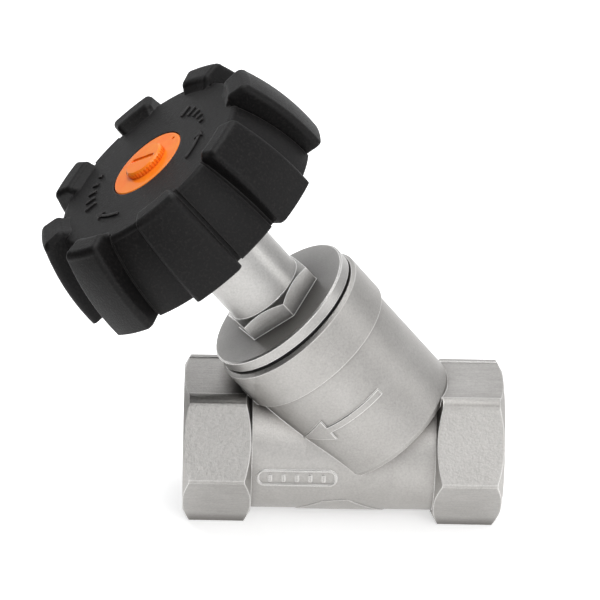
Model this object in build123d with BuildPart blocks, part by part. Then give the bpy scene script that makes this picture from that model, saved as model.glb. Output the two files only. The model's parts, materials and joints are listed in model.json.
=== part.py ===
"""Manual angle seat valve, 1-1/2 inch, with female threaded hexagon ends.

Frame: the origin is the centre of the inlet port's end face, +X points out of the inlet and +Z up.
The stem axis crosses the pipe axis at stem_x and leans back over the outlet. Heights named along
the stem axis are measured from that crossing point. Everything is in millimetres.
"""
import os
from math import cos, radians, sin, tan

from build123d import *

# ---- driving dimensions: body ----
face_to_face = 120.0
hexagon_width = 55.0            # across flats of both ends
hexagon_length = 25.6           # of each end, along the pipe
hexagon_chamfer_radius = 27.5   # where the 30 degree chamfer meets the end face
hexagon_chamfer_depth = 2.4
thread_radius = 23.9            # G 1-1/2 major radius
thread_length = 16.0
pipe_radius = 26.2
passage_radius = 21.0
stem_x = -35.7                  # where the stem axis crosses the pipe axis
stem_tilt = 50.0                # degrees between the stem axis and the pipe axis
branch_radius = 29.8
branch_foot = 11.5              # height of the branch's flat lower end
band_radius = 31.4              # turned band at the branch's top
band_foot = 55.2
band_top = 72.3
swelling_drop = 0.4             # how far the swelling under the seat stands below the pipe
flare_start = -75.0             # where the pipe's top begins to rise towards the outlet's hexagon
flare_tilt = 10.0               # degrees
pad_rise = 0.5                  # how far the as-cast slanted flats stand above the machined ones
pad_step = 0.3                  # same, where they turn over onto the top flat
pad_turnover = 3.2              # how far they reach onto the top flat
pad_bevel = 3.0                 # how far the rounded corner reaches down the slanted flat
arrow_height = 37.0             # of the raised flow arrow, on the branch
arrow_rise = 0.6
frame_x = -77.3                 # centre of the raised frame on the front of the pipe
frame_length, frame_width, frame_line = 30.0, 7.2, 0.7
frame_rise = 0.5
cavity_radius = 23.5
seat_height = 4.0
seat_hole_radius = 18.0
seat_land = 1.8                 # width of the raised seat ring
web_low, web_high = -1.0, 3.0   # wall that carries the seat
bonnet_thread_radius = 26.0
bonnet_thread_foot = 56.0

# ---- driving dimensions: bonnet and what it holds ----
flange_radius = 29.9
flange_low, flange_high = 73.5, 78.0
skirt_foot = 58.0
bonnet_hexagon = 32.0
bonnet_hexagon_top = 86.0
neck_radius = 15.2
neck_top = 131.0
chamber_radius = 10.0
chamber_foot = 64.0
nut_bore_radius = 11.0
nut_bore_foot = 108.0
bush_bore_radius = 8.0
bush_collar = 1.0
support_low, support_high = 65.0, 67.0
spring_wire = 0.75
spring_coil = 8.0
spring_turns = 5
plate_low, plate_high = 80.0, 81.5
packing_foot = 84.0             # V packing: every ring has the same roof-shaped outline
packing_count = 5
packing_pitch = 1.85
packing_thickness = 1.8
packing_rise = 1.6
packing_top = 98.0
gland_top = 106.0
wiper_radius = 8.5
wiper_height = 3.0
lock_screw_height = 125.0
lock_screw_radius = 1.6

# ---- driving dimensions: plug and what it holds ----
plug_radius = 21.0
plug_low, plug_high = 8.0, 13.0
boss_radius = 12.0
boss_top = 33.0
socket_radius = 9.0
socket_floor = 17.0
button_low, button_high = 17.2, 21.2
button_radius = 7.5
seal_low = seat_height + 0.05
seal_stud_radius = 6.0
seal_washer_low = 1.0
seal_washer_radius = 15.6
seal_nut_width = 19.0
seal_nut_low = -6.0
seal_stud_end = -10.5
pin_height = -8.0
pin_radius = 1.0
plug_screw_height = 27.0
plug_screw_radius = 1.5

# ---- driving dimensions: spindle ----
shaft_radius = 5.95
spindle_thread_radius = 6.0     # Tr 12x3
shaft_hole = 6.03               # running hole over the plain shaft
thread_hole = 6.07              # running hole over the thread
thread_foot = 99.0
shoulder = 136.0                # where the square begins
square_side = 8.4
stud_radius = 4.0
stud_foot, stud_top = 145.4, 155.2

# ---- driving dimensions: handwheel ----
wheel_top = 153.9
wheel_foot = 121.4
lobe_count = 8
lobe_turn = 8.8                 # angle of the first lobe's middle, from the side over the inlet
lobe_width = 22.5               # degrees
floor_top_radius, floor_foot_radius = 41.3, 49.0    # of the hollows between the lobes
lobe_top_radius, lobe_foot_radius = 49.0, 54.6
lobe_crest = 157.0
lobe_rounding = 2.2             # along the lobes' sides
floor_middle = 46.5             # radius of the hollows at floor_middle_height
floor_middle_height = 138.5
rim_rounding = 2.0              # between the wheel's top and the hollows
channel_depth = 1.2             # narrow channels beside every lobe
channel_width = 2.0             # degrees
wall = 3.4
hub_radius = 20.0
cover_radius = 15.4
insert_width = 20.0             # across flats of the steel hexagon in the hub
insert_top = 145.5
cap_radius = 8.3
cap_top = 156.4
cap_knurls = 36

gap = 0.03                      # between round faces of pieces that are fastened together

# ---- frames ----
stem_plane = Plane(
    origin=(stem_x, 0, 0),
    x_dir=(sin(radians(stem_tilt)), 0, cos(radians(stem_tilt))),
    z_dir=(-cos(radians(stem_tilt)), 0, sin(radians(stem_tilt))),
)
stem_axis = Axis(stem_plane.origin, stem_plane.z_dir)


def radial_plane(angle):
    """Plane through the stem axis: its x is the radius at that angle and its y is the height."""
    outwards = stem_plane.x_dir * cos(radians(angle)) + stem_plane.y_dir * sin(radians(angle))
    return Plane(origin=stem_plane.origin, x_dir=outwards, z_dir=outwards.cross(stem_plane.z_dir))


def side_plane(angle, radius, height):
    """Plane that faces outwards from the stem axis; its x runs along the circle, its y upwards."""
    section = radial_plane(angle)
    origin = section.origin + section.x_dir * radius + section.y_dir * height
    return Plane(origin=origin, x_dir=section.y_dir.cross(section.x_dir), z_dir=section.x_dir)


def turn(points, mode=Mode.ADD, angle=0.0, arc=360.0):
    """Turn an outline of (radius, height) points about the stem axis, centred on an angle."""
    with BuildSketch(radial_plane(angle - arc / 2 if arc < 360 else 0)) as section:
        with BuildLine():
            Polyline(*points, close=True)
        make_face()
    revolve(section.sketch, axis=stem_axis, revolution_arc=arc, mode=mode)


def ring(inner, outer, low, high, mode=Mode.ADD):
    """Plain turned ring between two radii and two heights."""
    turn([(inner, low), (outer, low), (outer, high), (inner, high)], mode)


def hexagon(width, low, high, turned=0.0, mode=Mode.ADD):
    """Hexagon bar along the stem axis, given by its width across flats."""
    with BuildSketch(stem_plane.offset(low)) as outline:
        RegularPolygon(width / 2, 6, major_radius=False, rotation=turned)
    extrude(outline.sketch, amount=high - low, mode=mode)


def chamfered_hexagon(width, low, high, turned=0.0, both=False):
    """Hexagon bar whose corners are turned off at 30 degrees at the top, or at both ends."""
    corner = width / 2 / cos(radians(30))
    drop = (corner - width / 2 + 0.4) * tan(radians(30))
    flat = width / 2 - 0.4
    hexagon(width, low, high, turned)
    foot = [(0, low), (flat, low), (corner, low + drop)] if both else [(0, low), (corner, low)]
    turn(foot + [(corner, high - drop), (flat, high), (0, high)], Mode.INTERSECT)


def finish(piece, name):
    """Label one piece and write it out."""
    piece.part.label = name
    export_step(piece.part, f"parts/{name}.step")


# ---- valve body ----
def cast_corner(side):
    """Corners, seen along the pipe, of what is cut off a hexagon's upper corner and of the as-cast flat."""
    top = Vector(side * hexagon_width / 2 * tan(radians(30)), hexagon_width / 2)
    foot = Vector(side * hexagon_width / 2 / cos(radians(30)), 0)
    up = (top - foot).normalized()
    out = Vector(side * cos(radians(30)), sin(radians(30)))
    inwards = Vector(-side, 0)
    cut = [top + inwards * (pad_turnover - 0.6), top - up * (pad_bevel - 0.6), top + out * 4]
    rounding = [top + inwards * pad_turnover + Vector(0, pad_step), top - Vector(side * 0.25, 0.43),
                top - up * pad_bevel + out * pad_rise]
    rest = [foot + up * 0.3 + out * pad_rise, foot - Vector(side * sin(radians(30)), cos(radians(30))),
            foot + inwards * 3, top - Vector(0, 4), top + inwards * pad_turnover - Vector(0, 1)]
    return cut, rounding, rest


def pipe_end(face_x, direction):
    """One hexagon end with chamfers on both sides; direction points out of the port."""
    far_x = face_x - direction * hexagon_length
    corner = hexagon_chamfer_radius + hexagon_chamfer_depth / tan(radians(30))
    depth = direction * hexagon_chamfer_depth
    with BuildPart() as end:
        with BuildSketch(Plane.YZ.offset(min(face_x, far_x))):
            RegularPolygon(hexagon_width / 2, 6, major_radius=False)
            for side in (-1, 1):
                cut, rounding, rest = cast_corner(side)
                with BuildLine():
                    Polyline(*cut, close=True)
                make_face(mode=Mode.SUBTRACT)
                with BuildLine():
                    corner_arc = ThreePointArc(*rounding)
                    Polyline(corner_arc @ 1, *rest, corner_arc @ 0)
                make_face()
        extrude(amount=hexagon_length)
        with BuildSketch(Plane.XZ):
            with BuildLine():
                Polyline(
                    (face_x, 0), (face_x, hexagon_chamfer_radius), (face_x - depth, corner),
                    (far_x + depth, corner), (far_x, hexagon_chamfer_radius), (far_x, 0), close=True,
                )
            make_face()
        revolve(axis=Axis.X, mode=Mode.INTERSECT)
    return end.part


def pipe_flare():
    """Rise of the pipe's top towards the outlet's hexagon, under the branch."""
    lean = radians(flare_tilt)
    face = Plane(origin=(flare_start, 0, 0), x_dir=(0, 1, 0), z_dir=(-cos(lean), 0, sin(lean)))
    with BuildPart() as flare:
        with BuildSketch(face):
            Circle(pipe_radius)
        extrude(amount=40)
        split(bisect_by=Plane.YZ.offset(-face_to_face + hexagon_length), keep=Keep.TOP)
    return flare.part


def underside_pad():
    """Low swelling under the pipe, where the slanted wall of the seat meets it."""
    with BuildPart() as pad:
        with BuildSketch(Plane.YZ.offset(-80)):
            with Locations((0, -swelling_drop)):
                Circle(pipe_radius)
        extrude(amount=40)
        with BuildSketch(Plane.XZ):
            with BuildLine():
                Polyline((-58, -11.8), (-67, -12.8), (-75, -19), (-80, -30), (-40, -30), (-45, -21),
                         close=True)
            make_face()
        extrude(amount=40, both=True, mode=Mode.INTERSECT)
    return pad.part


def flow_arrow():
    """Raised flow arrow on the front of the branch."""
    with BuildPart() as mark:
        with BuildSketch(side_plane(268.5, 36, arrow_height)):
            with Locations((4, 0)):
                Rectangle(24, 2.6)
            with BuildLine():
                Polyline((-20, 0), (-8, 5), (-8, -5), close=True)
            make_face()
        extrude(amount=-14)
        ring(branch_radius - 0.8, branch_radius + arrow_rise, 28, 46, Mode.INTERSECT)
    return mark.part


def pipe_marks():
    """Raised rounded frame on the front of the pipe, with plain bars in it."""
    facing = Plane(origin=(frame_x, -40, -0.6), x_dir=(1, 0, 0), z_dir=(0, -1, 0))
    with BuildPart() as mark:
        with BuildSketch(facing):
            RectangleRounded(frame_length, frame_width, 3.2)
            RectangleRounded(frame_length - 2 * frame_line, frame_width - 2 * frame_line, 2.5,
                             mode=Mode.SUBTRACT)
            with GridLocations(5, 1, 5, 1):
                Rectangle(1.2, 3.0)
        extrude(amount=-20)
        with BuildSketch(Plane.XZ):
            with Locations((frame_x, (pipe_radius + frame_rise + 20) / 2)):
                Rectangle(frame_length + 6, pipe_radius + frame_rise - 20)
        revolve(axis=Axis.X, mode=Mode.INTERSECT)
    return mark.part


def side_of_web(height, keep):
    """Pipe bore on one side of the slanted wall that carries the seat."""
    with BuildPart() as bore:
        with BuildSketch(Plane.YZ.offset(-face_to_face)):
            Circle(passage_radius)
        extrude(amount=face_to_face)
        split(bisect_by=stem_plane.offset(height), keep=keep)
    return bore.part


def make_valve_body():
    inlet_end = pipe_end(0, 1)
    outlet_end = pipe_end(-face_to_face, -1)
    swelling = underside_pad()
    flare = pipe_flare()
    arrow = flow_arrow()
    marks = pipe_marks()
    inlet_side = side_of_web(web_low, Keep.BOTTOM)
    outlet_side = side_of_web(web_high, Keep.TOP)
    with BuildPart() as valve_body:
        with BuildSketch(Plane.YZ.offset(-face_to_face + hexagon_length / 2)):
            Circle(pipe_radius)
        extrude(amount=face_to_face - hexagon_length)
        add(swelling)
        turn([(0, branch_foot), (branch_radius - 2.5, branch_foot),
              (branch_radius - 0.7, branch_foot + 0.7), (branch_radius, branch_foot + 2.5),
              (branch_radius, band_foot), (band_radius - 0.3, band_foot), (band_radius, band_foot + 0.3),
              (band_radius, band_top - 1.2), (band_radius - 1.2, band_top), (0, band_top)])
        add(inlet_end)
        add(outlet_end)
        add(flare)
        add(arrow)
        add(marks)
        # cavity above the seat, with the bonnet's thread at the top
        turn([(0, web_high), (cavity_radius, web_high), (cavity_radius, bonnet_thread_foot),
              (bonnet_thread_radius, bonnet_thread_foot), (bonnet_thread_radius, band_top + 1),
              (0, band_top + 1)], Mode.SUBTRACT)
        add(outlet_side, mode=Mode.SUBTRACT)
        add(inlet_side, mode=Mode.SUBTRACT)
        # raised seat ring and the hole through it
        ring(seat_hole_radius - 1, seat_hole_radius + seat_land, web_low + 1, seat_height)
        ring(0, seat_hole_radius, web_low - 6, seat_height + 1, Mode.SUBTRACT)
        # threaded ports
        with BuildSketch(Plane.YZ):
            Circle(thread_radius)
        extrude(amount=-thread_length, mode=Mode.SUBTRACT)
        with BuildSketch(Plane.YZ.offset(-face_to_face)):
            Circle(thread_radius)
        extrude(amount=thread_length, mode=Mode.SUBTRACT)
    finish(valve_body, "valve_body")


# ---- bonnet group ----
def make_bonnet():
    corner = bonnet_hexagon / 2 / cos(radians(30))
    with BuildPart() as bonnet:
        chamfered_hexagon(bonnet_hexagon, flange_high - 1, bonnet_hexagon_top, turned=-6)
        turn([(0, skirt_foot), (bonnet_thread_radius - gap - 0.8, skirt_foot),
              (bonnet_thread_radius - gap, skirt_foot + 0.8), (bonnet_thread_radius - gap, flange_low),
              (flange_radius, flange_low), (flange_radius, flange_high - 0.6),
              (flange_radius - 0.6, flange_high), (0, flange_high)])
        turn([(0, bonnet_hexagon_top), (corner - 4, bonnet_hexagon_top - 1),
              (neck_radius, bonnet_hexagon_top), (neck_radius, neck_top - 0.8),
              (neck_radius - 0.8, neck_top), (0, neck_top)])
        turn([(13, skirt_foot - 1), (21.5, skirt_foot - 1), (21.5, 69), (14, 69), (13, 68)], Mode.SUBTRACT)
        ring(0, bush_bore_radius, skirt_foot - 1, chamber_foot + 1, Mode.SUBTRACT)
        ring(0, chamber_radius, chamber_foot, nut_bore_foot + 1, Mode.SUBTRACT)
        ring(0, nut_bore_radius, nut_bore_foot, neck_top + 1, Mode.SUBTRACT)
        with BuildSketch(side_plane(90, nut_bore_radius - 1, lock_screw_height)):
            Circle(lock_screw_radius)
        extrude(amount=neck_radius, mode=Mode.SUBTRACT)
    finish(bonnet, "bonnet")


def make_bonnet_gasket():
    with BuildPart() as bonnet_gasket:
        ring(bonnet_thread_radius + 0.2, 28.7, band_top, flange_low)
    finish(bonnet_gasket, "bonnet_gasket")


def make_guide_bush():
    with BuildPart() as guide_bush:
        ring(shaft_hole, bush_bore_radius - gap, skirt_foot, chamber_foot)
        ring(shaft_hole, chamber_radius - 0.2, chamber_foot, chamber_foot + bush_collar)
    finish(guide_bush, "guide_bush")


def make_packing_support_ring():
    with BuildPart() as packing_support_ring:
        ring(shaft_hole, chamber_radius - gap, support_low, support_high)
    finish(packing_support_ring, "packing_support_ring")


def make_packing_spring():
    """Coil spring between the support ring and the plate."""
    rise = plate_low - support_high - 2 * spring_wire - 0.1
    foot = stem_plane.origin + stem_plane.z_dir * (support_high + spring_wire + 0.05)
    with BuildPart() as packing_spring:
        with BuildLine() as path:
            Helix(pitch=rise / spring_turns, height=rise, radius=spring_coil, center=foot,
                  direction=stem_plane.z_dir)
        with BuildSketch(Plane(origin=path.line @ 0, z_dir=path.line % 0)):
            Circle(spring_wire)
        sweep(path=path.line)
    finish(packing_spring, "packing_spring")


def make_spring_plate():
    with BuildPart() as spring_plate:
        ring(shaft_hole, chamber_radius - gap, plate_low, plate_high)
    finish(spring_plate, "spring_plate")


def make_packing():
    inner, outer = shaft_hole, chamber_radius - gap
    middle = (inner + outer) / 2
    with BuildPart() as packing_bottom_adapter:
        level = packing_foot - 0.05
        turn([(inner, plate_high), (outer, plate_high), (outer, level), (middle, level + packing_rise),
              (inner, level)])
    finish(packing_bottom_adapter, "packing_bottom_adapter")
    for number in range(packing_count):
        level = packing_foot + number * packing_pitch
        with BuildPart() as packing_ring:
            turn([(inner, level), (middle, level + packing_rise), (outer, level),
                  (outer, level + packing_thickness), (middle, level + packing_rise + packing_thickness),
                  (inner, level + packing_thickness)])
        finish(packing_ring, f"packing_ring_{number + 1}")
    with BuildPart() as packing_top_adapter:
        level = packing_foot + packing_count * packing_pitch
        turn([(inner, level), (middle, level + packing_rise), (outer, level), (outer, packing_top),
              (inner, packing_top)])
    finish(packing_top_adapter, "packing_top_adapter")


def make_packing_gland():
    """Screwed ring above the packing, with a screwdriver slot across its top."""
    with BuildPart() as packing_gland:
        ring(thread_hole, chamber_radius - gap, packing_top, gland_top)
        with BuildSketch(stem_plane.offset(gland_top - 1.5)):
            Rectangle(2 * chamber_radius, 2.4)
        extrude(amount=3, mode=Mode.SUBTRACT)
    finish(packing_gland, "packing_gland")


def make_spindle_nut():
    """Bronze nut that the spindle's thread runs in, with a seat for the wiper at its top."""
    with BuildPart() as spindle_nut:
        ring(thread_hole, nut_bore_radius - gap, nut_bore_foot, neck_top)
        ring(0, wiper_radius, neck_top - wiper_height, neck_top + 1, Mode.SUBTRACT)
    finish(spindle_nut, "spindle_nut")


def make_wiper_ring():
    with BuildPart() as wiper_ring:
        low = neck_top - wiper_height
        turn([(thread_hole, low), (wiper_radius - gap, low), (wiper_radius - gap, neck_top - 0.5),
              (wiper_radius - 1.3, neck_top - 0.5), (thread_hole + 0.5, neck_top + 0.4),
              (thread_hole, neck_top + 0.4)])
    finish(wiper_ring, "wiper_ring")


def make_nut_lock_screw():
    """Grub screw through the neck's wall, with a hexagon socket."""
    with BuildPart() as nut_lock_screw:
        with BuildSketch(side_plane(90, nut_bore_radius + gap, lock_screw_height)):
            Circle(lock_screw_radius - gap)
        extrude(amount=3.6)
        with BuildSketch(side_plane(90, nut_bore_radius + gap + 2.2, lock_screw_height)):
            RegularPolygon(0.75, 6, major_radius=False)
        extrude(amount=2, mode=Mode.SUBTRACT)
    finish(nut_lock_screw, "nut_lock_screw")


# ---- plug group ----
def make_plug():
    with BuildPart() as plug:
        turn([(0, seal_stud_end), (seal_stud_radius - 0.8, seal_stud_end),
              (seal_stud_radius, seal_stud_end + 0.8), (seal_stud_radius, plug_low),
              (plug_radius - 0.5, plug_low), (plug_radius, plug_low + 0.5), (plug_radius, plug_high - 1.0),
              (plug_radius - 1.0, plug_high), (boss_radius + 3, plug_high), (boss_radius, plug_high + 4),
              (boss_radius, boss_top), (0, boss_top)])
        ring(0, socket_radius, socket_floor, boss_top + 1, Mode.SUBTRACT)
        with BuildSketch(side_plane(90, -10, pin_height)):
            Circle(pin_radius + 0.05)
        extrude(amount=20, mode=Mode.SUBTRACT)
        with BuildSketch(side_plane(90, socket_radius - 1, plug_screw_height)):
            Circle(plug_screw_radius)
        extrude(amount=8, mode=Mode.SUBTRACT)
    finish(plug, "plug")


def make_seat_seal():
    with BuildPart() as seat_seal:
        ring(seal_stud_radius + gap, plug_radius - 0.4, seal_low, plug_low)
    finish(seat_seal, "seat_seal")


def make_seal_washer():
    with BuildPart() as seal_washer:
        turn([(seal_stud_radius + gap, seal_washer_low), (seal_washer_radius - 0.6, seal_washer_low),
              (seal_washer_radius, seal_washer_low + 0.6), (seal_washer_radius, seal_low),
              (seal_stud_radius + gap, seal_low)])
    finish(seal_washer, "seal_washer")


def make_seal_nut():
    with BuildPart() as seal_nut:
        chamfered_hexagon(seal_nut_width, seal_nut_low, seal_washer_low, both=True)
        ring(0, seal_stud_radius + gap, seal_nut_low - 1, seal_washer_low + 1, Mode.SUBTRACT)
    finish(seal_nut, "seal_nut")


def make_seal_nut_pin():
    with BuildPart() as seal_nut_pin:
        with BuildSketch(side_plane(90, -8.0, pin_height)):
            Circle(pin_radius)
        extrude(amount=16)
    finish(seal_nut_pin, "seal_nut_pin")


def make_plug_retainer():
    """Screwed ring above the spindle's button, with a hexagon to turn it by."""
    with BuildPart() as plug_retainer:
        chamfered_hexagon(22.0, boss_top, boss_top + 4)
        ring(0, socket_radius - gap, button_high + 0.2, boss_top)
        ring(0, shaft_hole, button_high - 1, boss_top + 5, Mode.SUBTRACT)
    finish(plug_retainer, "plug_retainer")


def make_retainer_lock_screw():
    with BuildPart() as retainer_lock_screw:
        with BuildSketch(side_plane(90, socket_radius + gap, plug_screw_height)):
            Circle(plug_screw_radius - gap)
        extrude(amount=2.7)
        with BuildSketch(side_plane(90, socket_radius + 1.5, plug_screw_height)):
            RegularPolygon(0.7, 6, major_radius=False)
        extrude(amount=3, mode=Mode.SUBTRACT)
    finish(retainer_lock_screw, "retainer_lock_screw")


# ---- spindle group ----
def make_spindle():
    with BuildPart() as spindle:
        turn([(0, button_low), (button_radius - 0.6, button_low), (button_radius, button_low + 0.6),
              (button_radius, button_high - 0.4), (button_radius - 0.4, button_high),
              (shaft_radius, button_high), (shaft_radius, thread_foot - 0.5),
              (spindle_thread_radius, thread_foot), (spindle_thread_radius, shoulder), (0, shoulder)])
        with BuildSketch(stem_plane.offset(shoulder)):
            Rectangle(square_side, square_side)
        extrude(amount=stud_foot - shoulder)
        turn([(0, stud_foot), (stud_radius, stud_foot), (stud_radius, stud_top - 0.6),
              (stud_radius - 0.6, stud_top), (0, stud_top)])
    finish(spindle, "spindle")


def stem_place(shape):
    """Radius and height of a shape's centre about the stem axis."""
    offset = shape.center() - stem_plane.origin
    height = offset.dot(stem_plane.z_dir)
    return (offset - stem_plane.z_dir * height).length, height


def make_lobe(angle):
    """One grip lobe of the handwheel, centred on an angle, with rounded sides and crest."""
    with BuildPart() as lobe:
        with BuildSketch(radial_plane(angle - lobe_width / 2)) as section:
            with BuildLine():
                outer = ThreePointArc((lobe_top_radius, lobe_crest - 2.8), (53.1, 139.5),
                                      (lobe_foot_radius, wheel_foot))
                shoulder_arc = ThreePointArc(outer @ 0, (48.0, lobe_crest - 0.8), (45.6, lobe_crest))
                crest_arc = ThreePointArc((41.4, lobe_crest), (39.9, lobe_crest - 0.4),
                                          (38.9, lobe_crest - 1.4))
                Line(shoulder_arc @ 1, crest_arc @ 0)
                Polyline(crest_arc @ 1, (35.6, wheel_top - 0.6), (38.6, 151.8), (46.8, wheel_foot),
                         outer @ 1)
            make_face()
        revolve(section.sketch, axis=stem_axis, revolution_arc=lobe_width)
        ends = lobe.faces().filter_by(GeomType.PLANE)
        ends = [face for face in ends if abs(face.normal_at().dot(stem_plane.z_dir)) < 0.01]
        places = {edge: stem_place(edge) for face in ends for edge in face.edges()}
        rim = [edge for edge, (radius, height) in places.items()
               if height > wheel_top or radius > 51 and height > wheel_foot + 1]
        fillet(rim, lobe_rounding)
    return lobe.part


def cut_channel(angle):
    """Cut the channels beside one lobe as one wide groove, whose middle the lobe fills again."""
    top, foot = wheel_top - rim_rounding, wheel_foot - 1
    arc = lobe_width + 2 * channel_width
    with BuildSketch(radial_plane(angle - arc / 2)) as section:
        with BuildLine():
            bottom = ThreePointArc((floor_top_radius - channel_depth, top),
                                   (floor_middle - channel_depth, floor_middle_height),
                                   (floor_foot_radius - channel_depth, foot))
            Polyline(bottom @ 1, (60, foot), (60, wheel_top + 1), (floor_top_radius - 3.4, wheel_top + 1),
                     (floor_top_radius - 2.6, wheel_top - 0.6), bottom @ 0)
        make_face()
    revolve(section.sketch, axis=stem_axis, revolution_arc=arc, mode=Mode.SUBTRACT)


def make_handwheel():
    pitch = 360 / lobe_count
    angles = [lobe_turn + number * pitch for number in range(lobe_count)]
    lobes = [make_lobe(angle) for angle in angles]
    under_top = wheel_top - 4.0
    with BuildPart() as handwheel:
        # outer shell: flat top, rounded rim, curved wall
        with BuildSketch(radial_plane(0)):
            with BuildLine():
                outside = ThreePointArc((floor_top_radius, wheel_top - rim_rounding),
                                        (floor_middle, floor_middle_height),
                                        (floor_foot_radius, wheel_foot))
                inside = ThreePointArc((floor_foot_radius - wall, wheel_foot),
                                       (floor_middle - wall, floor_middle_height),
                                       (floor_top_radius - wall - 0.8, under_top))
                rim = ThreePointArc((floor_top_radius - rim_rounding, wheel_top),
                                    (floor_top_radius - 0.3 * rim_rounding, wheel_top - 0.3 * rim_rounding),
                                    outside @ 0)
                Line(outside @ 1, inside @ 0)
                Polyline(inside @ 1, (hub_radius - 1, under_top), (hub_radius - 1, wheel_top), rim @ 0)
            make_face()
        revolve(axis=stem_axis)
        for angle in angles:
            cut_channel(angle)
        add(lobes)
        # hub with its neck collar, a ring rib and radial ribs
        ring(0, hub_radius, shoulder, wheel_top)
        ring(17.6, hub_radius, wheel_foot + 2, shoulder)
        ring(31.0, 33.2, wheel_foot + 3, wheel_top - 1)
        for angle in angles:
            with BuildSketch(radial_plane(angle + pitch / 2)) as rib:
                with BuildLine():
                    Polyline((hub_radius - 1, wheel_foot + 3), (45.0, wheel_foot + 3),
                             (38.5, wheel_top - 3), (hub_radius - 1, wheel_top - 3), close=True)
                make_face()
            extrude(rib.sketch, amount=1.1, both=True)
            # hollow of each lobe, open at the bottom
            turn([(36.0, 148.5), (45.5, 150.0), (49.6, 139.5), (51.3, wheel_foot - 1),
                  (43.5, wheel_foot - 1)], Mode.SUBTRACT, angle=angle, arc=lobe_width - 8)
        # seat of the hexagon insert and pocket of the cover
        hexagon(insert_width, shoulder - 1, insert_top, mode=Mode.SUBTRACT)
        ring(0, cover_radius + 0.3, insert_top, wheel_top + 5, Mode.SUBTRACT)
    finish(handwheel, "handwheel")


def make_wheel_insert():
    """Steel hexagon in the hub with a square hole; its flange pulls up against the hub."""
    with BuildPart() as wheel_insert:
        hexagon(insert_width, shoulder, insert_top)
        ring(0, 13.5, shoulder - 2, shoulder)
        ring(0, spindle_thread_radius + gap, shoulder - 3, shoulder, Mode.SUBTRACT)
        with BuildSketch(stem_plane.offset(shoulder)) as square:
            Rectangle(square_side + 2 * gap, square_side + 2 * gap)
        extrude(square.sketch, amount=12, mode=Mode.SUBTRACT)
    finish(wheel_insert, "wheel_insert")


def make_wheel_washer():
    with BuildPart() as wheel_washer:
        ring(stud_radius + 0.2, 12.0, insert_top, insert_top + 1.5)
    finish(wheel_washer, "wheel_washer")


def make_wheel_nut():
    low, high = insert_top + 1.5, insert_top + 5.5
    with BuildPart() as wheel_nut:
        chamfered_hexagon(13.0, low, high, both=True)
        ring(0, stud_radius + gap, low - 1, high + 1, Mode.SUBTRACT)
    finish(wheel_nut, "wheel_nut")


def make_cover_disc():
    """Orange disc that closes the wheel's pocket, with a skirt under its rim."""
    inner, under = stud_radius + 0.1, wheel_top - 2.5
    with BuildPart() as cover_disc:
        turn([(inner, under), (cover_radius - 1.8, under), (cover_radius - 1.8, insert_top + 1),
              (cover_radius, insert_top + 1), (cover_radius, wheel_top - 0.4),
              (cover_radius - 0.4, wheel_top), (inner, wheel_top)])
        # small round dimple that marks one side
        with BuildSketch(stem_plane.offset(wheel_top - 0.4)):
            with PolarLocations(13.0, 1, start_angle=22):
                Circle(0.8)
        extrude(amount=1, mode=Mode.SUBTRACT)
    finish(cover_disc, "cover_disc")


def make_knurled_cap():
    """Knurled cap screwed on the end of the spindle's stud."""
    with BuildPart() as knurled_cap:
        turn([(0, wheel_top), (cap_radius, wheel_top), (cap_radius, cap_top - 0.8),
              (cap_radius - 0.8, cap_top), (0, cap_top)])
        with BuildSketch(stem_plane.offset(wheel_top)) as grooves:
            with PolarLocations(cap_radius + 0.15, cap_knurls):
                Circle(0.45)
        extrude(grooves.sketch, amount=cap_top, mode=Mode.SUBTRACT)
        with BuildSketch(stem_plane.offset(cap_top - 0.6)) as slot:
            SlotOverall(12.0, 2.0, rotation=-30)
        extrude(slot.sketch, amount=2, mode=Mode.SUBTRACT)
        ring(0, stud_radius + gap, wheel_top - 1, stud_top + 0.1, Mode.SUBTRACT)
    finish(knurled_cap, "knurled_cap")


os.makedirs("parts", exist_ok=True)
make_valve_body()
make_bonnet()
make_bonnet_gasket()
make_guide_bush()
make_packing_support_ring()
make_packing_spring()
make_spring_plate()
make_packing()
make_packing_gland()
make_spindle_nut()
make_wiper_ring()
make_nut_lock_screw()
make_plug()
make_seat_seal()
make_seal_washer()
make_seal_nut()
make_seal_nut_pin()
make_plug_retainer()
make_retainer_lock_screw()
make_spindle()
make_handwheel()
make_wheel_insert()
make_wheel_washer()
make_wheel_nut()
make_cover_disc()
make_knurled_cap()
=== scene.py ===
import json
from math import cos, pi, radians, sin

import bmesh
import bpy
from mathutils import Matrix, Vector


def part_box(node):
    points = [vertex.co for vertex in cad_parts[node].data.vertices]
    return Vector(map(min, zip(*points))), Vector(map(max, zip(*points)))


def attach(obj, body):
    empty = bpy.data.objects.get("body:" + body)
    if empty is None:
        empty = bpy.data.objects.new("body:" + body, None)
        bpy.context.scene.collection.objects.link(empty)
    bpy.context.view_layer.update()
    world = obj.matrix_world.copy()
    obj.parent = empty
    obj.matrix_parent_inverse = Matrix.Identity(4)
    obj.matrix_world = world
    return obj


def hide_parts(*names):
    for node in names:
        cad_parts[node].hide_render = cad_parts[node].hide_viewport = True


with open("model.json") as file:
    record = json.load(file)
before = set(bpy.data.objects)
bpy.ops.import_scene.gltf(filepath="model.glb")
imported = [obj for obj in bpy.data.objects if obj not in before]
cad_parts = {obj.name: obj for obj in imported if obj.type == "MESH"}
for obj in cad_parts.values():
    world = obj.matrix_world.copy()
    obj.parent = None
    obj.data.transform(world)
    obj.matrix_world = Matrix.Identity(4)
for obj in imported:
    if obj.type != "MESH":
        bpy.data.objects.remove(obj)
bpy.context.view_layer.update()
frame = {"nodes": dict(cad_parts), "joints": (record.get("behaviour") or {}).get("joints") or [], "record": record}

MM = 0.001
MARK_RISE = 0.6 * MM                            # raised marks on the wheel's top
THREAD_PITCH, THREAD_DEPTH = 2.309 * MM, 1.48 * MM      # G 1-1/2
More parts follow.
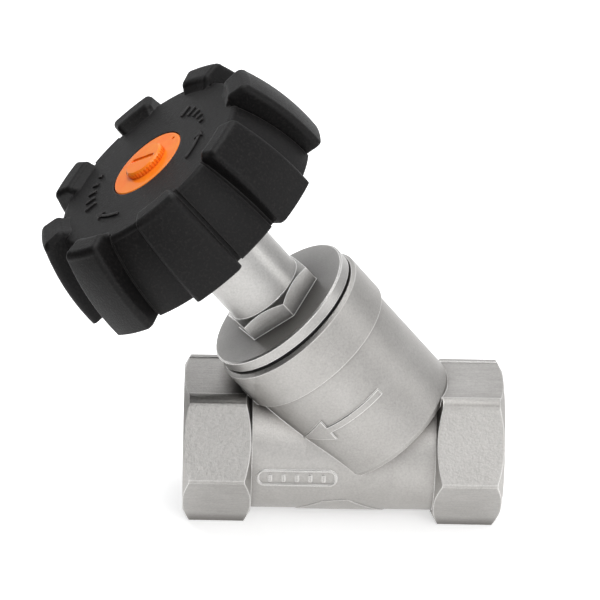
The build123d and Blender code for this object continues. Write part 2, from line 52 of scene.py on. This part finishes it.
WORLD_FRONT, WORLD_BACK, WORLD_SIDE = 0.92, 0.72, 0.24  # brightness of the surroundings
WORLD_HIGH_BACK, WORLD_RIGHT = 1.45, 0.24       # extra light high behind, and to the right

# the valve's sizes that the materials are placed by
BODY_MIDDLE, HEXAGON_START = 60 * MM, 34 * MM   # along the pipe, the second from the middle
HEXAGON_HALF = 27.5 * MM
PAD_LOW, PAD_FULL = 0.1 * MM, 0.3 * MM          # rise in which a flat counts as raised
BAND_START, BAND_RADIUS = 55.1 * MM, 29.0 * MM
FLANGE_TOP, FOOT_RADIUS, FLANGE_RIM = 78 * MM, 16 * MM, 29 * MM

# ---------------------------------------------------------------- frame
joints = {joint["name"]: joint for joint in frame["joints"]}
stem_origin = Vector(joints["wheel_turn"]["pos_m"])
stem_axis = Vector(joints["wheel_turn"]["axis"]).normalized()
stem_side = Vector((0, 1, 0)).cross(stem_axis)      # angle 0 about the stem, over the inlet
mounts = {mount["name"]: mount for mount in frame["record"]["mounts"]}


def stem_point(radius, angle, height):
    """Point about the stem axis, from a radius, an angle in degrees and a height."""
    outwards = stem_side * cos(radians(angle)) + Vector((0, 1, 0)) * sin(radians(angle))
    return stem_origin + outwards * radius + stem_axis * height


def stem_heights(node):
    """Lowest and highest point of a node along the stem axis."""
    heights = [(vertex.co - stem_origin).dot(stem_axis) for vertex in frame["nodes"][node].data.vertices]
    return min(heights), max(heights)


wheel_face = stem_heights("cover_disc")[1]          # the cover is flush with the wheel's flat top
floor_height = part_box("valve_body")[0].z


# ---------------------------------------------------------------- node helpers
class Nodes:
    """Short hand for building one material's node tree."""

    def __init__(self, name):
        self.material = bpy.data.materials.new(name)
        self.material.use_nodes = True
        self.tree = self.material.node_tree
        self.shader = self.tree.nodes["Principled BSDF"]
        self.point = self.add("ShaderNodeTexCoord").outputs["Object"]

    def add(self, kind, inputs=None, **settings):
        node = self.tree.nodes.new(kind)
        for key, value in settings.items():
            setattr(node, key, value)
        for key, value in (inputs or {}).items():
            self.feed(node.inputs[key], value)
        return node

    def feed(self, socket, value):
        if isinstance(value, bpy.types.NodeSocket):
            self.tree.links.new(value, socket)
        else:
            socket.default_value = value

    def math(self, operation, first, second=0.0, third=0.0, clamp=False):
        inputs = {0: first, 1: second, 2: third}
        return self.add("ShaderNodeMath", inputs, operation=operation, use_clamp=clamp).outputs[0]

    def vector(self, operation, first, second=(0, 0, 0)):
        node = self.add("ShaderNodeVectorMath", {0: first, 1: second}, operation=operation)
        return node.outputs["Value" if operation == "DOT_PRODUCT" else "Vector"]

    def noise(self, scale, detail=2.0, roughness=0.5, at=None, stretch=None):
        at = self.point if at is None else at
        if stretch:
            at = self.vector("MULTIPLY", at, stretch)
        inputs = {"Vector": at, "Scale": scale, "Detail": detail, "Roughness": roughness}
        return self.add("ShaderNodeTexNoise", inputs).outputs["Fac"]

    def range(self, value, low, high, to_low=0.0, to_high=1.0):
        inputs = {"Value": value, "From Min": low, "From Max": high, "To Min": to_low, "To Max": to_high}
        return self.add("ShaderNodeMapRange", inputs).outputs["Result"]

    def mix(self, factor, first, second):
        node = self.add("ShaderNodeMix", data_type="RGBA")
        self.feed(node.inputs["Factor"], factor)
        self.feed(node.inputs["A"], first)
        self.feed(node.inputs["B"], second)
        return node.outputs["Result"]

    def shade(self, color, value):
        """Colour times a grey value."""
        node = self.add("ShaderNodeVectorMath", {0: color}, operation="SCALE")
        self.feed(node.inputs["Scale"], value)
        return node.outputs["Vector"]

    def bump(self, height, distance, normal=None):
        inputs = {"Height": height, "Distance": distance, "Strength": 1.0}
        if normal is not None:
            inputs["Normal"] = normal
        return self.add("ShaderNodeBump", inputs).outputs["Normal"]

    def stem_height_radius(self):
        """Height along the stem axis and radius about it, in metres."""
        offset = self.vector("SUBTRACT", self.point, stem_origin)
        height = self.vector("DOT_PRODUCT", offset, stem_axis)
        square = self.vector("DOT_PRODUCT", offset, offset)
        flat = self.math("MULTIPLY_ADD", height, self.math("MULTIPLY", height, -1.0), square)
        return height, self.math("SQRT", flat)

    def combine(self, x=0.0, y=0.0, z=0.0):
        return self.add("ShaderNodeCombineXYZ", {"X": x, "Y": y, "Z": z}).outputs[0]

    def rounded(self, radius):
        """Surface direction with every edge rounded off."""
        return self.add("ShaderNodeBevel", {"Radius": radius}, samples=8).outputs[0]

    def edges(self, radius, low=0.005, high=0.07):
        """Painted highlight mask: 1 on the edges, where a rounded edge would catch light, 0 on the faces."""
        normal = self.add("ShaderNodeNewGeometry").outputs["Normal"]
        away = self.math("SUBTRACT", 1.0, self.vector("DOT_PRODUCT", self.rounded(radius), normal))
        return self.range(away, low, high)

    def crease_shade(self, distance):
        """Painted shade mask: 1 deep in corners, where little light reaches, 0 in the open."""
        open_share = self.add("ShaderNodeAmbientOcclusion", {"Distance": distance}, samples=8).outputs["AO"]
        return self.range(open_share, 0.35, 0.95, 1.0, 0.0)

    def finish(self, color, roughness, normal, **constants):
        self.feed(self.shader.inputs["Base Color"], color)
        self.feed(self.shader.inputs["Roughness"], roughness)
        self.feed(self.shader.inputs["Normal"], normal)
        for key, value in constants.items():
            self.shader.inputs[key.replace("_", " ")].default_value = value
        return self.material


# ---------------------------------------------------------------- materials
def cast_stainless():
    """Bead-blasted casting: rough raised flats, brushed machined flats, a turned band on the branch."""
    m = Nodes("cast_stainless")
    split = m.add("ShaderNodeSeparateXYZ", {0: m.point})
    across, up = m.math("ABSOLUTE", split.outputs["Y"]), split.outputs["Z"]
    height, radius = m.stem_height_radius()
    # masks from the hexagon's and the branch's real sizes
    slant = m.math("MULTIPLY", across, cos(radians(30)))
    upper = m.math("MULTIPLY_ADD", up, sin(radians(30)), slant)
    lower = m.math("MULTIPLY_ADD", up, -sin(radians(30)), slant)
    from_middle = m.math("ABSOLUTE", m.math("ADD", split.outputs["X"], BODY_MIDDLE))
    at_ends = m.math("GREATER_THAN", from_middle, HEXAGON_START)
    raised = m.range(upper, HEXAGON_HALF + PAD_LOW, HEXAGON_HALF + PAD_FULL)
    rough_flat = m.math("MULTIPLY", raised, at_ends)
    far = m.math("MAXIMUM", m.math("ABSOLUTE", up), lower)
    brushed = m.math("MULTIPLY", m.math("COMPARE", far, HEXAGON_HALF, 0.12 * MM),
                     m.math("SUBTRACT", at_ends, rough_flat, clamp=True))
    band = m.math("MULTIPLY", m.math("GREATER_THAN", height, BAND_START),
                  m.math("GREATER_THAN", radius, BAND_RADIUS))
    # relief
    blast = m.noise(1250, 4.0, 0.65)
    peel = m.noise(620, 3.0, 0.6)
    swell = m.noise(70, 2.0, 0.5)
    strokes = m.noise(1.0, 3.0, 0.65, stretch=(110, 2200, 2200))
    rings = m.noise(1.0, 2.0, 0.6, at=m.combine(m.math("MULTIPLY", height, 2200.0)))
    relief = m.math("MULTIPLY_ADD", blast, 0.8, m.math("MULTIPLY", swell, 1.2))
    relief = m.math("MULTIPLY_ADD", m.math("MULTIPLY", peel, rough_flat), 1.6, relief)
    relief = m.math("MULTIPLY_ADD", m.math("MULTIPLY", strokes, brushed), 0.6, relief)
    relief = m.math("MULTIPLY_ADD", m.math("MULTIPLY", rings, band), 0.35, relief)
    normal = m.bump(relief, 0.13 * MM, normal=m.rounded(0.6 * MM))
    # colour: warm grey with darker blotches, painted shade in the corners and a painted highlight on the edges
    tone = m.mix(m.range(m.noise(28, 4.0, 0.6), 0.3, 0.7), (0.40, 0.387, 0.370, 1), (0.48, 0.467, 0.450, 1))
    tone = m.mix(m.math("MULTIPLY", rough_flat, 0.30), tone, (0.62, 0.61, 0.59, 1))
    tone = m.shade(tone, m.range(blast, 0.3, 0.7, 0.84, 1.10))
    streaks = m.math("MULTIPLY", m.math("SUBTRACT", strokes, 0.5), brushed)
    tone = m.shade(tone, m.range(streaks, -0.2, 0.2, 0.90, 1.08))
    # painted shade: the brushed flats are made 8 % darker, so that the lower flats look less lit
    tone = m.shade(tone, m.math("MULTIPLY_ADD", brushed, -0.08, 1.0))
    # painted shade in corners and creases
    tone = m.mix(m.math("MULTIPLY", m.crease_shade(6 * MM), 0.8), tone, (0.13, 0.12, 0.11, 1))
    # painted highlight on the edges
    tone = m.mix(m.math("MULTIPLY", m.edges(0.8 * MM), 0.75), tone, (0.88, 0.87, 0.85, 1))
    rough = m.math("MULTIPLY_ADD", brushed, -0.06, m.range(blast, 0.3, 0.7, 0.38, 0.52))
    return m.finish(tone, m.math("MULTIPLY_ADD", rough_flat, 0.06, rough), normal, Metallic=1.0)


def turned_stainless():
    """Turned bonnet and inner parts: fine tool rings, soft satin."""
    m = Nodes("turned_stainless")
    height, radius = m.stem_height_radius()
    along = m.noise(1.0, 3.0, 0.65, at=m.combine(m.math("MULTIPLY", height, 2000.0)))
    out = m.noise(1.0, 3.0, 0.65, at=m.combine(0.0, m.math("MULTIPLY", radius, 2000.0)))
    tool = m.math("ADD", along, out)
    grain = m.noise(1400, 3.0, 0.65)
    relief = m.math("MULTIPLY_ADD", tool, 0.35, m.math("MULTIPLY", grain, 0.9))
    normal = m.bump(relief, 0.09 * MM, normal=m.rounded(0.4 * MM))
    tone = m.mix(m.range(m.noise(45, 3.0, 0.6), 0.3, 0.7), (0.43, 0.42, 0.405, 1), (0.52, 0.51, 0.495, 1))
    tone = m.shade(tone, m.range(grain, 0.3, 0.7, 0.86, 1.08))
    # painted shade in corners and creases
    tone = m.mix(m.math("MULTIPLY", m.crease_shade(2.5 * MM), 0.7), tone, (0.13, 0.125, 0.12, 1))
    # painted shade: the flange's face is darker towards the hexagon's foot
    on_flange = m.math("COMPARE", height, FLANGE_TOP, 0.2 * MM)
    painted_foot_shade = m.math("MULTIPLY", m.range(radius, FOOT_RADIUS, FLANGE_RIM, 0.75, 0.0), on_flange)
    tone = m.mix(painted_foot_shade, tone, (0.15, 0.145, 0.14, 1))
    # painted highlight on the edges
    tone = m.mix(m.edges(0.7 * MM), tone, (0.95, 0.94, 0.92, 1))
    rough = m.range(m.math("ADD", tool, grain), 1.1, 1.9, 0.32, 0.46)
    return m.finish(tone, rough, normal, Metallic=1.0)


def plain_metal(name, color, light, rough, scale=900):
    """Small metal pieces: fine grain, tone changes, a painted highlight on the edges and painted shade in corners.
    """
    m = Nodes(name)
    grain = m.noise(scale, 3.0, 0.6)
    height, radius = m.stem_height_radius()
    rings = m.noise(1.0, 2.0, 0.6, at=m.combine(m.math("MULTIPLY", height, 2500.0),
                                              m.math("MULTIPLY", radius, 2500.0)))
    normal = m.bump(m.math("ADD", grain, rings), 0.03 * MM)
    tone = m.mix(m.range(m.noise(90, 3.0, 0.6), 0.3, 0.7), (*color, 1), (*light, 1))
    # painted highlight on the edges
    tone = m.mix(m.math("MULTIPLY", m.edges(0.3 * MM), 0.4), tone, (*[min(1.0, 1.3 * c) for c in light], 1))
    # painted shade in corners and creases
    tone = m.mix(m.math("MULTIPLY", m.crease_shade(2 * MM), 0.6), tone, (*[0.25 * c for c in color], 1))
    return m.finish(tone, m.range(grain, 0.3, 0.7, rough - 0.05, rough + 0.08), normal, Metallic=1.0)


def black_nylon():
    """Moulded black plastic with an eroded grain and a painted highlight on its edges."""
    m = Nodes("black_nylon")
    grain = m.noise(1100, 3.0, 0.6)
    fine = m.noise(3000, 2.0, 0.5)
    flow = m.noise(35, 3.0, 0.5)
    relief = m.math("MULTIPLY_ADD", fine, 0.4, grain)
    normal = m.bump(relief, 0.13 * MM, normal=m.rounded(0.5 * MM))
    tone = m.mix(m.range(flow, 0.3, 0.7), (0.003, 0.0028, 0.003, 1), (0.006, 0.0056, 0.0056, 1))
    tone = m.mix(m.math("MULTIPLY", m.range(grain, 0.5, 0.72), 0.6), tone, (0.022, 0.0195, 0.0185, 1))
    # painted highlight on the edges
    tone = m.mix(m.math("MULTIPLY", m.edges(0.9 * MM), 0.5), tone, (0.055, 0.052, 0.051, 1))
    rough = m.range(grain, 0.3, 0.7, 0.44, 0.58)
    return m.finish(tone, rough, normal, IOR=1.5, Specular_IOR_Level=0.20)


def orange_gloss():
    """Glossy moulded orange with a faint flow pattern and fine scratches."""
    m = Nodes("orange_gloss")
    flow = m.noise(120, 3.0, 0.5)
    scratch = m.noise(1.0, 2.0, 0.6, stretch=(400, 3500, 900))
    relief = m.math("ADD", flow, m.math("MULTIPLY", scratch, 0.25))
    normal = m.bump(relief, 0.03 * MM, normal=m.rounded(0.35 * MM))
    tone = m.mix(m.range(flow, 0.3, 0.7), (1.0, 0.20, 0.010, 1), (1.0, 0.27, 0.018, 1))
    # painted highlight on the edges
    tone = m.mix(m.math("MULTIPLY", m.edges(0.4 * MM), 0.35), tone, (1.0, 0.36, 0.06, 1))
    # painted shade in corners and creases
    tone = m.mix(m.math("MULTIPLY", m.crease_shade(1.5 * MM), 0.5), tone, (0.70, 0.055, 0.004, 1))
    rough = m.range(scratch, 0.4, 0.7, 0.12, 0.22)
    return m.finish(tone, rough, normal, IOR=1.45, Specular_IOR_Level=0.28)


def soft_polymer(name, dark, light, rough, scale=700):
    """Seals, gaskets and rings: matte with a soft mottle."""
    m = Nodes(name)
    grain = m.noise(scale, 3.0, 0.55)
    normal = m.bump(grain, 0.05 * MM)
    tone = m.mix(m.range(m.noise(120, 3.0, 0.6), 0.3, 0.7), (*dark, 1), (*light, 1))
    # painted shade in corners and creases
    tone = m.mix(m.math("MULTIPLY", m.crease_shade(2 * MM), 0.5), tone, (*[0.4 * c for c in dark], 1))
    return m.finish(tone, m.range(grain, 0.3, 0.7, rough - 0.06, rough + 0.06), normal)


MATERIALS = {
    "stainless_cast": cast_stainless(),
    "stainless_turned": turned_stainless(),
    "black_plastic": black_nylon(),
    "orange_plastic": orange_gloss(),
    "gasket_graphite": soft_polymer("graphite", (0.015, 0.015, 0.017), (0.03, 0.03, 0.033), 0.6),
    "carbon_ptfe": soft_polymer("carbon_ptfe", (0.035, 0.035, 0.037), (0.06, 0.06, 0.062), 0.45),
    "black_rubber": soft_polymer("black_rubber", (0.012, 0.012, 0.012), (0.022, 0.022, 0.022), 0.7),
    "ptfe": soft_polymer("ptfe", (0.72, 0.71, 0.68), (0.84, 0.83, 0.80), 0.38),
    "spring_steel": plain_metal("spring_steel", (0.38, 0.38, 0.38), (0.5, 0.5, 0.5), 0.25),
    "brass": plain_metal("brass", (0.62, 0.44, 0.18), (0.76, 0.58, 0.28), 0.28),
    "bronze": plain_metal("bronze", (0.50, 0.31, 0.15), (0.64, 0.43, 0.23), 0.32),
    "dark_steel": plain_metal("dark_steel", (0.06, 0.06, 0.065), (0.1, 0.1, 0.105), 0.4),
    "zinc_steel": plain_metal("zinc_steel", (0.52, 0.54, 0.57), (0.66, 0.67, 0.69), 0.3),
}

for subpart in frame["record"]["subparts"]:
    node = frame["nodes"][subpart["node"]]
    for slot in node.material_slots:
        slot.material = MATERIALS[subpart["material_slot"]]


# ---------------------------------------------------------------- pieces
def new_piece(name, vertices, faces, body, slot):
    """Mesh piece in the shared frame, riding on a body with a record slot's material."""
    mesh = bpy.data.meshes.new(name)
    mesh.from_pydata([tuple(v) for v in vertices], [], faces)
    mesh.validate()
    rebuilt = bmesh.new()
    rebuilt.from_mesh(mesh)
    bmesh.ops.recalc_face_normals(rebuilt, faces=rebuilt.faces)
    rebuilt.to_mesh(mesh)
    rebuilt.free()
    piece = bpy.data.objects.new(name, mesh)
    bpy.context.scene.collection.objects.link(piece)
    mesh.materials.append(MATERIALS[slot])
    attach(piece, body)
    return piece


def smooth(piece, angle):
    """Shade a piece smoothly, but keep the edges that are sharper than an angle in degrees."""
    for polygon in piece.data.polygons:
        polygon.use_smooth = True
    piece.data.set_sharp_from_angle(angle=radians(angle))


def tube_faces(rings, count):
    """Quads between neighbouring rings of points, and a cap on each end."""
    faces = []
    for ring in range(rings - 1):
        for k in range(count):
            a, b = ring * count + k, ring * count + (k + 1) % count
            faces.append((a, b, b + count, a + count))
    last = (rings - 1) * count
    return faces + [tuple(range(count)), tuple(last + k for k in reversed(range(count)))]


def port_thread(name, mount, body):
    """Female G 1-1/2 thread: one rounded helical ridge that fades in and out along the bore."""
    mouth = Vector(mount["pos_m"])
    inwards = -Vector(mount["axis"])
    root = mount["dims"]["r_mm"] * MM
    length = mount["dims"]["length_mm"] * MM
    per_turn, clear_ends = 96, 1.3      # steps in a turn, turns left plain at the ends
    steps = int((length / THREAD_PITCH - clear_ends) * per_turn)
    # section across the ridge: distance along the bore in pitches and share of the depth
    section = [(-0.5, -0.03), (-0.30, 0.45), (-0.13, 0.92), (0.0, 1.0), (0.13, 0.92), (0.30, 0.45),
               (0.5, -0.03)]
    vertices = []
    for step in range(steps + 1):
        angle = 2 * pi * step / per_turn
        fade = max(0.02, min(1.0, step / (per_turn * 0.5), (steps - step) / (per_turn * 0.5)))
        for along, rise in section:
            turns = clear_ends / 2 + step / per_turn + along * 0.98
            place = mouth + inwards * THREAD_PITCH * turns
            radius = root - THREAD_DEPTH * rise * fade
            vertices.append(place + Vector((0, cos(angle), sin(angle))) * radius)
    smooth(new_piece(name, vertices, tube_faces(steps + 1, len(section)), body, "stainless_cast"), 50)


def threaded_spindle():
    """The spindle with its real 12 x 3 trapezoidal thread, which shows when the valve is open."""
    count, pitch, depth, crest = 64, 3.0, 1.55, 5.98    # sizes in mm
    thread_low, thread_high = 99.0, 135.6
    half_land, flank = 0.185, 0.13                      # in pitches
    button, shaft, half_square, stud = 7.5, 5.95, 4.2, 4.0
    square_low, square_high = 136.0, 145.4

    def thread_radius(height, turned):
        place = ((height - thread_low) / pitch - turned / 360) % 1.0
        groove = min(1.0, max(0.0, (abs(place - 0.5) - half_land) / flank))
        run_out = max(0.0, min(1.0, (height - thread_low) / 1.5, (thread_high - height) / 1.0))
        return crest - depth * (1.0 - groove) * run_out

    def square_radius(turned):
        return half_square / max(abs(cos(radians(turned))), abs(sin(radians(turned))))

    low, high = (value / MM for value in stem_heights("spindle"))
    profile = [(low, button - 0.6), (low + 0.6, button), (low + 3.6, button), (low + 4.0, button - 0.4),
               (low + 4.02, shaft), (thread_low - 0.5, shaft), (thread_low - 0.1, crest)]
    steps = int((thread_high - thread_low) / 0.2)
    profile += [(thread_low + 0.2 * step, None) for step in range(steps + 1)]
    profile += [(square_low - 0.02, crest), (square_low, "square"), (square_high - 0.02, "square"),
                (square_high, stud), (high - 0.6, stud), (high, stud - 0.6)]
    vertices = []
    for height, kind in profile:
        for k in range(count):
            turned = 360 * k / count
            radius = thread_radius(height, turned) if kind is None else kind
            radius = square_radius(turned) if kind == "square" else radius
            vertices.append(stem_point(radius * MM, turned, height * MM))
    spindle = new_piece("threaded_spindle", vertices, tube_faces(len(profile), count), "spindle_group",
                        "stainless_turned")
    smooth(spindle, 30)
    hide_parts("spindle")


threaded_spindle()
port_thread("inlet_thread", mounts["inlet_port"], "valve")
port_thread("outlet_thread", mounts["outlet_port"], "valve")


def raised_mark(name, outlines):
    """Raised mark on the wheel's flat top, from outlines of (radius in mm, angle in degrees) points."""
    vertices, faces = [], []
    for outline in outlines:
        first = len(vertices)
        count = len(outline)
        middle_radius = sum(point[0] for point in outline) / count
        middle_angle = sum(point[1] for point in outline) / count
        for rise, shrink in ((-0.1 * MM, 1.0), (MARK_RISE * 0.6, 1.0), (MARK_RISE, 0.86)):
            for radius, angle in outline:
                near_radius = middle_radius + (radius - middle_radius) * shrink
                near_angle = middle_angle + (angle - middle_angle) * shrink
                vertices.append(stem_point(near_radius * MM, near_angle, wheel_face + rise))
        for level in (0, count):
            for k in range(count):
                a, b = first + level + k, first + level + (k + 1) % count
                faces.append((a, b, b + count, a + count))
        faces.append(tuple(first + 2 * count + k for k in range(count)))
        faces.append(tuple(first + k for k in reversed(range(count))))
    return new_piece(name, vertices, faces, "spindle_group", "black_plastic")


def arc_band(radius, width, start, end, steps=12):
    """Outline of a curved bar."""
    angles = [start + (end - start) * k / steps for k in range(steps + 1)]
    outer = [(radius + width / 2, angle) for angle in angles]
    inner = [(radius - width / 2, angle) for angle in reversed(angles)]
    return outer + inner


def turn_arrow(name, radius, tail, head):
    """Curved arrow about the wheel's centre, from its tail's angle to its head's."""
    towards = 1 if head > tail else -1
    neck = head - towards * 8.0
    shaft = [arc_band(radius, 1.3, tail, neck)]
    point = [[(radius + 2.1, neck - towards * 1.5), (radius, head), (radius - 2.1, neck - towards * 1.5),
              (radius, neck)]]
    return raised_mark(name, shaft + point)


def tick_row(name, radius, start, end, lengths):
    """Row of radial bars of changing length, a plain sign for more or less."""
    step = (end - start) / (len(lengths) - 1)
    bars = []
    for k, length in enumerate(lengths):
        angle = start + k * step
        bars.append([(radius - length / 2, angle - 1.5), (radius - length / 2, angle + 1.5),
                     (radius + length / 2, angle + 1.3), (radius + length / 2, angle - 1.3)])
    return raised_mark(name, bars)


turn_arrow("open_arrow", 26.0, -44.0, -11.0)
turn_arrow("close_arrow", 26.5, 242.0, 210.0)
tick_row("open_ticks", 25.5, 6.0, 46.0, (2.0, 2.8, 3.6, 4.4, 5.2))
tick_row("close_ticks", 26.5, 147.0, 188.0, (2.0, 2.8, 3.6, 4.4, 5.2))


# ---------------------------------------------------------------- studio
def studio_floor():
    size = 6.0
    mesh = bpy.data.meshes.new("floor")
    low = floor_height - 0.02 * MM
    corners = [(x * size - BODY_MIDDLE, y * size, low) for x, y in ((-1, -1), (1, -1), (1, 1), (-1, 1))]
    mesh.from_pydata(corners, [], [(0, 1, 2, 3)])
    floor = bpy.data.objects.new("floor", mesh)
    bpy.context.scene.collection.objects.link(floor)
    m = Nodes("floor_white")
    tone = m.mix(m.noise(3.0), (0.86, 0.86, 0.86, 1), (0.90, 0.90, 0.90, 1))
    m.feed(m.shader.inputs["Emission Color"], (1, 1, 1, 1))
    m.feed(m.shader.inputs["Emission Strength"], 0.55)
    mesh.materials.append(m.finish(tone, 0.8, m.bump(m.noise(400), 0.02 * MM)))


def dark_card(name, x, low_y, high_y, top):
    """Upright dark card beside the valve: no camera sees it, and it gives the metal a darker side."""
    corners = [(x, low_y, floor_height), (x, high_y, floor_height), (x, high_y, top), (x, low_y, top)]
    mesh = bpy.data.meshes.new(name)
    mesh.from_pydata(corners, [], [(0, 1, 2, 3)])
    card = bpy.data.objects.new(name, mesh)
    bpy.context.scene.collection.objects.link(card)
    m = Nodes(name)
    tone = m.mix(m.noise(30), (0.015, 0.015, 0.015, 1), (0.03, 0.03, 0.03, 1))
    mesh.materials.append(m.finish(tone, 0.9, m.bump(m.noise(400), 0.02 * MM)))
    card.visible_camera = False


def softbox(name, place, aim, size, power):
    light = bpy.data.lights.new(name, "AREA")
    light.shape = "RECTANGLE"
    light.size, light.size_y = size
    light.energy = power
    box = bpy.data.objects.new(name, light)
    box.location = place
    box.rotation_euler = (Vector(aim) - Vector(place)).to_track_quat("-Z", "Y").to_euler()
    bpy.context.scene.collection.objects.link(box)


def studio_world():
    """Pale surroundings: brightest in front, dimmer behind and dimmest at the sides."""
    world = bpy.data.worlds.new("studio")
    world.use_nodes = True
    tree = world.node_tree

    def step(operation, first, second=0.0, third=0.0):
        node = tree.nodes.new("ShaderNodeMath")
        node.operation = operation
        for socket, value in zip(node.inputs, (first, second, third)):
            if isinstance(value, bpy.types.NodeSocket):
                tree.links.new(value, socket)
            else:
                socket.default_value = value
        return node.outputs[0]

    split = tree.nodes.new("ShaderNodeSeparateXYZ")
    tree.links.new(tree.nodes.new("ShaderNodeTexCoord").outputs["Generated"], split.inputs[0])
    depth = split.outputs["Y"]
    front = step("POWER", step("MAXIMUM", step("MULTIPLY", depth, -1.0), 0.0), 2.0)
    behind = step("POWER", step("MAXIMUM", depth, 0.0), 2.0)
    strength = step("MULTIPLY_ADD", front, WORLD_FRONT - WORLD_SIDE, WORLD_SIDE)
    strength = step("MULTIPLY_ADD", behind, WORLD_BACK - WORLD_SIDE, strength)
    high_back = step("MULTIPLY", step("MAXIMUM", depth, 0.0), step("MAXIMUM", split.outputs["Z"], 0.0))
    strength = step("MULTIPLY_ADD", high_back, WORLD_HIGH_BACK, strength)
    strength = step("MAXIMUM", step("MULTIPLY_ADD", split.outputs["X"], WORLD_RIGHT, strength), 0.0)
    tree.links.new(strength, tree.nodes["Background"].inputs["Strength"])
    tree.nodes["Background"].inputs["Color"].default_value = (0.98, 0.985, 1.0, 1)
    bpy.context.scene.world = world


def photo_camera():
    yaw, pitch, roll = radians(-1.569), radians(30.882), radians(1.87)
    distance = 1.286455
    target = Vector((-0.077587, 0, 0.061241))
    back = Vector((sin(yaw) * cos(pitch), -cos(yaw) * cos(pitch), sin(pitch)))
    level = Vector((cos(yaw), sin(yaw), 0))
    above = back.cross(level)
    right = level * cos(roll) + above * sin(roll)
    upward = above * cos(roll) - level * sin(roll)
    data = bpy.data.cameras.new("camera")
    data.sensor_width = 36.0
    data.lens = 208.23
    data.clip_end = 20.0
    camera = bpy.data.objects.new("camera", data)
    turned = Matrix((right, upward, back)).transposed().to_4x4()
    camera.matrix_world = Matrix.Translation(target + back * distance) @ turned
    bpy.context.scene.collection.objects.link(camera)
    bpy.context.scene.camera = camera


studio_floor()
studio_world()
dark_card("left_card", -0.34, -0.50, 0.20, 0.20)
softbox("key", (0.35, -1.25, 1.0), (-0.07, 0, 0.05), (0.7, 0.5), 5.5)
softbox("top", (-0.40, 0.15, 1.25), (-0.07, 0, 0.0), (1.0, 0.7), 9.5)
softbox("right", (0.9, -0.2, 0.5), (-0.07, 0, 0.05), (0.3, 0.6), 1.4)
photo_camera()
bpy.context.scene.view_settings.view_transform = "Standard"
